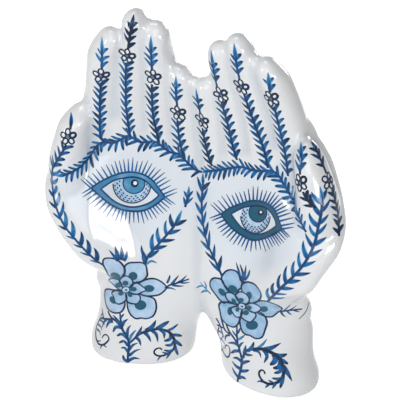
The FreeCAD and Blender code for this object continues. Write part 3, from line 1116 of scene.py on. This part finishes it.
# Sprigs, stems and fronds of the wrists
# Single strokes from root to tip: a sprig at each side of a flower, stems down to the
# foot, and a frond that curls in on itself. Each has a width in millimetres, a shape,
# and its stops in pixels.
STROKE_FULLER = 1.25
STEM = ((0.8, 1.0, 1.0, 0.9, 0.7), (0.9, 0.8, 0.85, 0.8, 0.9))
CURL = ((0.6, 0.9, 1.0, 1.0, 0.9, 0.7, 0.5), (0.85, 0.9, 0.95, 1.0, 0.95, 0.95, 1.0))
PALE = ((0.7, 1.0, 1.0, 0.7, 0.2), (0.3, 0.25, 0.3, 0.45, 0.6))
LEFT_SPRIGS_PX = [
    (1.7, THIN, (118, 261), (114, 256), (109, 250)),
    (2.3, THIN, (119, 260), (117, 254), (115, 246)),
    (2.3, THIN, (121, 260), (122, 254), (121, 246)),
    (1.7, BLUNT, (124, 261), (126, 257), (127, 251)),
    (1.1, STEM, (165, 288), (170, 285), (177, 283), (189, 279)),
    (1.3, BLUNT, (167, 283), (169, 279), (170, 275)),
    (1.4, THIN, (171, 285), (175, 280), (179, 275)),
    (1.2, THIN, (177, 283), (182, 280), (187, 275)),
    (1.1, THIN, (167, 288), (171, 288), (176, 290)),
    (1.3, THIN, (172, 285), (178, 286), (184, 286)),
    (1.1, THIN, (179, 282), (184, 283), (190, 282)),
    (1.3, PALE, (146, 265), (151, 261), (157, 263)),
    (1.7, BLUNT, (145, 263), (143, 257), (144, 252)),
]
RIGHT_SPRIGS_PX = [
    (1.6, THIN, (241, 281), (239, 272), (236, 262)),
    (1.8, THIN, (242, 282), (243, 274), (240, 264)),
    (1.7, THIN, (243, 282), (245, 274), (246, 265)),
    (1.5, BLUNT, (245, 280), (248, 276), (250, 270)),
    (1.4, STEM, (277, 312), (284, 311), (292, 310), (302, 309)),
    (1.0, THIN, (283, 311), (287, 308), (291, 304)),
    (1.0, THIN, (289, 310), (293, 308), (297, 305)),
    (1.2, THIN, (281, 312), (283, 315), (286, 317)),
    (1.0, THIN, (287, 311), (289, 313), (292, 315)),
    (1.0, THIN, (293, 310), (296, 311), (300, 312)),
    (1.1, PALE, (211, 294), (206, 289), (200, 282)),
    (1.2, PALE, (208, 291), (204, 291), (201, 293)),
    (1.2, PALE, (206, 289), (206, 285), (204, 281)),
    (1.1, PALE, (203, 286), (200, 286), (196, 288)),
    (0.6, STEM, (299, 319), (304, 314), (307, 309), (309, 302)),
]
LEFT_FRONDS_PX = [
    (1.6, STEM, (128, 363), (128, 355), (129, 347), (128, 339), (122, 329), (117, 322),
     (111, 317), (108, 311)),
    (1.3, STEM, (123, 330), (121, 322), (120, 313)),
    (1.2, STEM, (112, 319), (106, 319), (100, 318)),
    (0.9, STEM, (104, 319), (103, 314), (102, 308)),
    (2.0, BLUNT, (128, 339), (122, 334), (117, 336)),
    (1.8, BLUNT, (128, 346), (124, 341), (119, 343)),
    (1.6, BLUNT, (129, 354), (125, 348), (121, 348)),
    (1.8, BLUNT, (127, 361), (124, 359), (123, 355)),
    (1.2, THIN, (128, 361), (126, 363), (125, 365)),
    (1.9, BLUNT, (122, 328), (116, 327), (113, 332)),
    (2.0, THIN, (113, 321), (109, 322), (106, 328)),
    (1.6, THIN, (107, 319), (104, 322), (102, 328)),
    (1.8, THIN, (127, 337), (128, 329), (131, 325)),
    (1.7, PALE, (129, 344), (131, 336), (136, 330)),
    (1.6, THIN, (129, 350), (133, 345), (138, 343)),
    (1.5, THIN, (129, 356), (135, 351), (141, 349)),
    (1.8, THIN, (128, 361), (134, 358), (140, 359)),
    (2.3, THIN, (122, 327), (118, 321), (113, 315)),
    (1.9, THIN, (122, 326), (124, 322), (128, 319)),
    (1.3, BLUNT, (120, 319), (122, 316), (124, 314)),
    (1.7, CURL, (130, 343), (134, 339), (138, 335), (144, 332), (151, 330), (158, 329),
     (164, 330), (169, 332), (173, 337), (175, 343), (173, 350), (167, 354), (161, 356),
     (156, 355), (154, 352), (156, 349), (160, 348), (162, 350)),
    (1.9, THIN, (137, 336), (140, 331), (142, 326)),
    (2.8, THIN, (146, 331), (152, 327), (156, 320)),
    (2.8, BLUNT, (157, 329), (163, 325), (169, 321)),
    (1.9, BLUNT, (167, 331), (173, 328), (178, 324)),
    (2.0, BLUNT, (172, 335), (177, 335), (182, 336)),
    (2.0, BLUNT, (174, 340), (178, 343), (182, 346)),
    (1.8, BLUNT, (175, 346), (176, 350), (178, 355)),
    (1.5, THIN, (170, 353), (168, 356), (166, 359)),
    (1.0, THIN, (161, 356), (159, 358), (157, 361)),
    (1.9, THIN, (135, 337), (139, 340), (141, 346)),
    (2.1, THIN, (144, 332), (148, 336), (151, 342)),
    (2.0, THIN, (151, 330), (156, 334), (158, 342)),
    (2.1, THIN, (160, 329), (164, 333), (164, 339)),
    (2.3, BLUNT, (171, 334), (170, 339), (164, 341)),
    (1.9, BLUNT, (174, 341), (171, 345), (165, 345)),
    (1.6, BLUNT, (173, 350), (169, 351), (164, 350)),
    (1.5, THIN, (168, 354), (165, 353), (162, 352)),
    (1.3, CURL, (104, 317), (100, 319), (98, 323), (96, 329), (96, 337), (98, 343), (102, 345),
     (106, 343), (109, 339), (107, 335), (104, 335), (102, 338)),
    (1.1, THIN, (103, 313), (101, 316), (101, 319)),
    (1.2, THIN, (100, 320), (103, 322), (105, 325)),
    (1.2, THIN, (98, 324), (101, 327), (102, 331)),
    (1.2, THIN, (97, 329), (100, 332), (100, 336)),
    (1.0, THIN, (97, 341), (100, 341), (101, 340)),
    (0.9, THIN, (102, 345), (101, 347), (100, 349)),
    (0.9, THIN, (104, 345), (106, 347), (107, 347)),
]
RIGHT_FRONDS_PX = [
    (1.6, STEM, (237, 383), (239, 376), (241, 368), (242, 360), (240, 352), (238, 345),
     (234, 338), (229, 331), (226, 323)),
    (1.2, STEM, (238, 346), (237, 335), (237, 326)),
    (1.2, STEM, (230, 334), (225, 330), (222, 321), (220, 311)),
    (1.9, BLUNT, (239, 351), (235, 351), (231, 353)),
    (1.8, THIN, (239, 346), (234, 343), (228, 343)),
    (1.9, THIN, (241, 361), (237, 358), (233, 358)),
    (2.0, THIN, (241, 369), (236, 366), (232, 361)),
    (2.0, THIN, (239, 378), (235, 373), (232, 367)),
    (1.3, THIN, (242, 360), (243, 356), (244, 353)),
    (1.9, BLUNT, (241, 364), (245, 362), (250, 361)),
    (1.9, BLUNT, (241, 371), (245, 371), (249, 370)),
    (1.9, BLUNT, (239, 378), (242, 377), (246, 379)),
    (1.4, THIN, (239, 347), (241, 344), (244, 342)),
    (1.5, PALE, (237, 340), (241, 338), (245, 335)),
    (1.5, THIN, (237, 333), (239, 331), (240, 328)),
    (1.3, THIN, (237, 337), (234, 333), (232, 330)),
    (1.3, THIN, (230, 335), (226, 336), (225, 341)),
    (2.0, CURL, (244, 358), (244, 354), (248, 350), (255, 349), (262, 349), (268, 351),
     (274, 354), (279, 358), (282, 364), (284, 371), (282, 378), (278, 382), (271, 384),
     (264, 382), (260, 377), (259, 373), (261, 370), (264, 371), (265, 374)),
    (1.9, THIN, (244, 354), (245, 350), (246, 345)),
    (2.0, BLUNT, (248, 351), (252, 347), (254, 342)),
    (1.5, PALE, (256, 349), (262, 345), (267, 339)),
    (2.6, THIN, (262, 350), (271, 348), (281, 343)),
    (2.7, BLUNT, (272, 354), (280, 356), (287, 354)),
    (2.3, BLUNT, (279, 359), (283, 361), (288, 364)),
    (2.5, THIN, (283, 366), (287, 372), (292, 381)),
    (2.2, BLUNT, (283, 376), (282, 382), (280, 388)),
    (1.5, THIN, (276, 383), (274, 386), (272, 389)),
    (1.5, THIN, (269, 384), (267, 386), (265, 388)),
    (1.7, THIN, (245, 354), (249, 355), (253, 355)),
    (1.6, THIN, (253, 350), (259, 352), (261, 358)),
    (2.2, THIN, (264, 350), (267, 356), (264, 363)),
    (3.0, BLUNT, (275, 355), (275, 361), (270, 365)),
    (2.8, BLUNT, (281, 361), (279, 367), (273, 368)),
    (2.2, BLUNT, (284, 368), (279, 372), (274, 373)),
    (1.9, BLUNT, (283, 378), (278, 379), (272, 378)),
    (1.6, THIN, (274, 384), (270, 381), (268, 380)),
    (1.2, THIN, (263, 382), (260, 381), (257, 382)),
    (1.2, THIN, (216, 318), (219, 323), (221, 328), (223, 335)),
    (1.2, STEM, (217, 325), (220, 326), (223, 328)),
    (1.2, CURL, (219, 327), (218, 333), (220, 340), (222, 348), (225, 355), (228, 357),
     (230, 353), (229, 347), (226, 345), (225, 349)),
    (1.2, THIN, (219, 331), (222, 333), (224, 338)),
    (1.2, THIN, (220, 338), (223, 341), (225, 345)),
    (1.0, THIN, (220, 340), (222, 338), (223, 335)),
    (1.0, THIN, (223, 350), (221, 350), (219, 348)),
]


def stroke(marks, wide, shape, *stops):
    """One leaf or stem through a few pixels."""
    line = spaced(seen_all(flowing(stops, 4)), STEP)
    widths = [STROKE_FULLER * wide * MM * share for share in shape[0]]
    brush(marks, line, widths, shape[1])


for side, sprigs_px, fronds_px in (
    ("left", LEFT_SPRIGS_PX, LEFT_FRONDS_PX),
    ("right", RIGHT_SPRIGS_PX, RIGHT_FRONDS_PX),
):
    sprigs, fronds = Marks(), Marks()
    for leaf_px in sprigs_px:
        stroke(sprigs, *leaf_px)
    for leaf_px in fronds_px:
        stroke(fronds, *leaf_px)
    painted(side + "_flower_sprigs", sprigs)
    painted(side + "_wrist_fronds", fronds)
    carried_round[side]["fronds"] = fronds


# The backs of the hands
# The photograph doesn't show them. The vines, the flowers and the fronds are taken to
# go on behind, carried straight through from the front, but for the steep sides.
BACK_STEEP = 0.35
BACK_STRETCH = 2.2


def behind(front):
    """The same strokes on the back of the hands, where it faces backwards."""
    landed = {}
    for corner, point in enumerate(front.places):
        hit, up = glaze.ray_cast(Vector((point.x, 1, point.z)), Vector((0, -1, 0)))[:2]
        if hit and up.y > BACK_STEEP:
            landed[corner] = hit + up * (glaze.find_nearest(point)[0] - point).length
    back = Marks()
    kept = {}
    for face in front.faces:
        if not all(corner in landed for corner in face):
            continue
        drawn = (front.places[face[0]] - front.places[face[2]]).length
        if (landed[face[0]] - landed[face[2]]).length > BACK_STRETCH * drawn:
            continue
        for corner in face:
            if corner not in kept:
                kept[corner] = len(back.places)
                back.places.append(landed[corner])
                back.tones.append(front.tones[corner])
        back.faces.append(tuple(kept[corner] for corner in reversed(face)))
    return back


for side, fronts in carried_round.items():
    for name, front in fronts.items():
        colour = teal if name == "flower_cores" else cobalt
        painted(side + "_back_" + name, behind(front), colour)


# The blush round the eyes
# In the kiln the cobalt fumes, and the glaze round the heavy painting of the eyes
# comes out a very pale blue. The material reads it as "blush".
BLUSH_FULL = 5 * MM
BLUSH_ENDS = 22 * MM

strokes = KDTree(len(fuming))
for index, point in enumerate(fuming):
    strokes.insert(point, index)
strokes.balance()
for shell in shells:
    blush = shell.data.attributes.new("blush", "FLOAT", "POINT")
    for vertex, value in zip(shell.data.vertices, blush.data):
        apart = strokes.find(vertex.co)[2]
        value.value = min(1, max(0, (BLUSH_ENDS - apart) / (BLUSH_ENDS - BLUSH_FULL)))


# The wrist bases
# Slabs of bare fired clay that close the wrists, seated in a recess of each foot.
SLAB_GRAIN = (900, 4)
SLAB_COLOURS = ((0.50, 0.41, 0.31, 1), (0.62, 0.53, 0.43, 1))
SLAB_RELIEF = (0.5, 0.2 * MM)
SLAB_FINISH = {"Roughness": 0.9}


def mottled(name, grain, colours, relief, finish):
    """A material in two colours, with a relief of the same grain.

    grain is (scale, detail), relief is (strength, depth), finish the shader's constants."""
    material, tree, shader = new_material(name)
    spots = noise(tree, *grain)
    feed(tree, shader, {"Base Color": mixed(tree, spots, *colours), **finish})
    feed(tree, shader, {"Normal": bumped(tree, spots, *relief)})
    return material


clay = mottled("fired clay", SLAB_GRAIN, SLAB_COLOURS, SLAB_RELIEF, SLAB_FINISH)
for side in ("left", "right"):
    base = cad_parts[side + "_wrist_base"]
    base.data.materials.clear()
    base.data.materials.append(clay)


# The felt pads
# Discs punched out of grey pressed felt, their rims a little rounded by the cut, and
# glued under the feet.
PAD_SIDES = 64
PAD_RIM = 0.35 * MM
PAD_CREASE = 50
FELT_GRAIN = (1400, 5)
FELT_COLOURS = ((0.022, 0.022, 0.024, 1), (0.075, 0.075, 0.08, 1))
FELT_RELIEF = (0.8, 0.3 * MM)
FELT_FINISH = {"Roughness": 1, "Sheen Weight": 0.3}

felt = mottled("pressed felt", FELT_GRAIN, FELT_COLOURS, FELT_RELIEF, FELT_FINISH)
for side in ("left", "right"):
    for spot in ("inner", "outer", "front"):
        node = side + "_pad_" + spot
        low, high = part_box(node)
        bpy.ops.mesh.primitive_cylinder_add(
            vertices=PAD_SIDES,
            radius=(high.x - low.x) / 2,
            depth=high.z - low.z,
            location=(low + high) / 2,
        )
        pad = bpy.context.object
        pad.name = node + "_felt"
        pick(pad)
        bpy.ops.object.transform_apply(location=True, rotation=False, scale=False)
        change(pad, "BEVEL", width=PAD_RIM, segments=3, limit_method="ANGLE", angle_limit=0.8)
        smooth_shade(pad, PAD_CREASE)
        pad.data.materials.append(felt)
        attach(pad, "root")
        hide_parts(node)


# The studio
# A floor of white paper, a low key from the front right, a narrow fill from the front
# left, and soft boxes above, behind and in front. The camera and the reflections see the
# floor and the world bright, while the world lights the hands only a little.
WHITE = (1, 1, 1, 1)
FLOOR_WIDE = 6
PAPER = (0.75, 0.75, 0.75, 1)
PAPER_ROUGH = 0.9
PAPER_SHOWN = 0.8
WORLD_SHOWN = 1.0
AMBIENT = 0.09


def seen_ray(tree):
    """1 for the rays of the camera, of gloss and of glass, and 0 for the others."""
    rays = wired(tree, "ShaderNodeLightPath").outputs
    seen_or_gloss = reckoned(tree, "MAXIMUM", rays["Is Camera Ray"], rays["Is Glossy Ray"])
    return reckoned(tree, "MAXIMUM", seen_or_gloss, rays["Is Transmission Ray"])


def soft_box(name, place, aim, wide, high, power):
    """A rectangular studio light that faces a point."""
    bpy.ops.object.light_add(type="AREA", location=place)
    lamp = bpy.context.object
    lamp.name = name
    lamp.data.shape = "RECTANGLE"
    lamp.data.size = wide
    lamp.data.size_y = high
    lamp.data.energy = power
    lamp.rotation_euler = (Vector(aim) - Vector(place)).to_track_quat("-Z", "Y").to_euler()


bpy.ops.mesh.primitive_plane_add(size=FLOOR_WIDE)
floor = bpy.context.object
floor.name = "floor"
paper, tree, shader = new_material("white paper")
shown = reckoned(tree, "MULTIPLY", seen_ray(tree), PAPER_SHOWN)
feed(tree, shader, {"Base Color": PAPER, "Roughness": PAPER_ROUGH})
feed(tree, shader, {"Emission Color": WHITE, "Emission Strength": shown})
floor.data.materials.append(paper)

soft_box("key", (0.60, -0.71, 0.11), (0, 0, 0.11), 0.40, 0.14, 2.5)
soft_box("fill", (-0.64, -0.72, 0.22), (0, 0, 0.13), 0.16, 0.30, 2.2)
soft_box("top", (-0.20, -0.20, 1.20), (0, 0, 0.13), 0.50, 0.50, 3.8)
soft_box("back", (0.30, 1.10, 0.50), (0, 0, 0.13), 0.50, 0.40, 6.5)
soft_box("front", (0.10, -1.50, 0.45), (0, 0, 0.10), 1.20, 0.80, 8)

world = bpy.data.worlds.new("studio")
bpy.context.scene.world = world
world.use_nodes = True
tree = world.node_tree
level = ranged(tree, seen_ray(tree), (0, 1), (AMBIENT, WORLD_SHOWN))
feed(tree, tree.nodes["Background"], {"Color": WHITE, "Strength": level})
bpy.context.scene.view_settings.view_transform = "Standard"
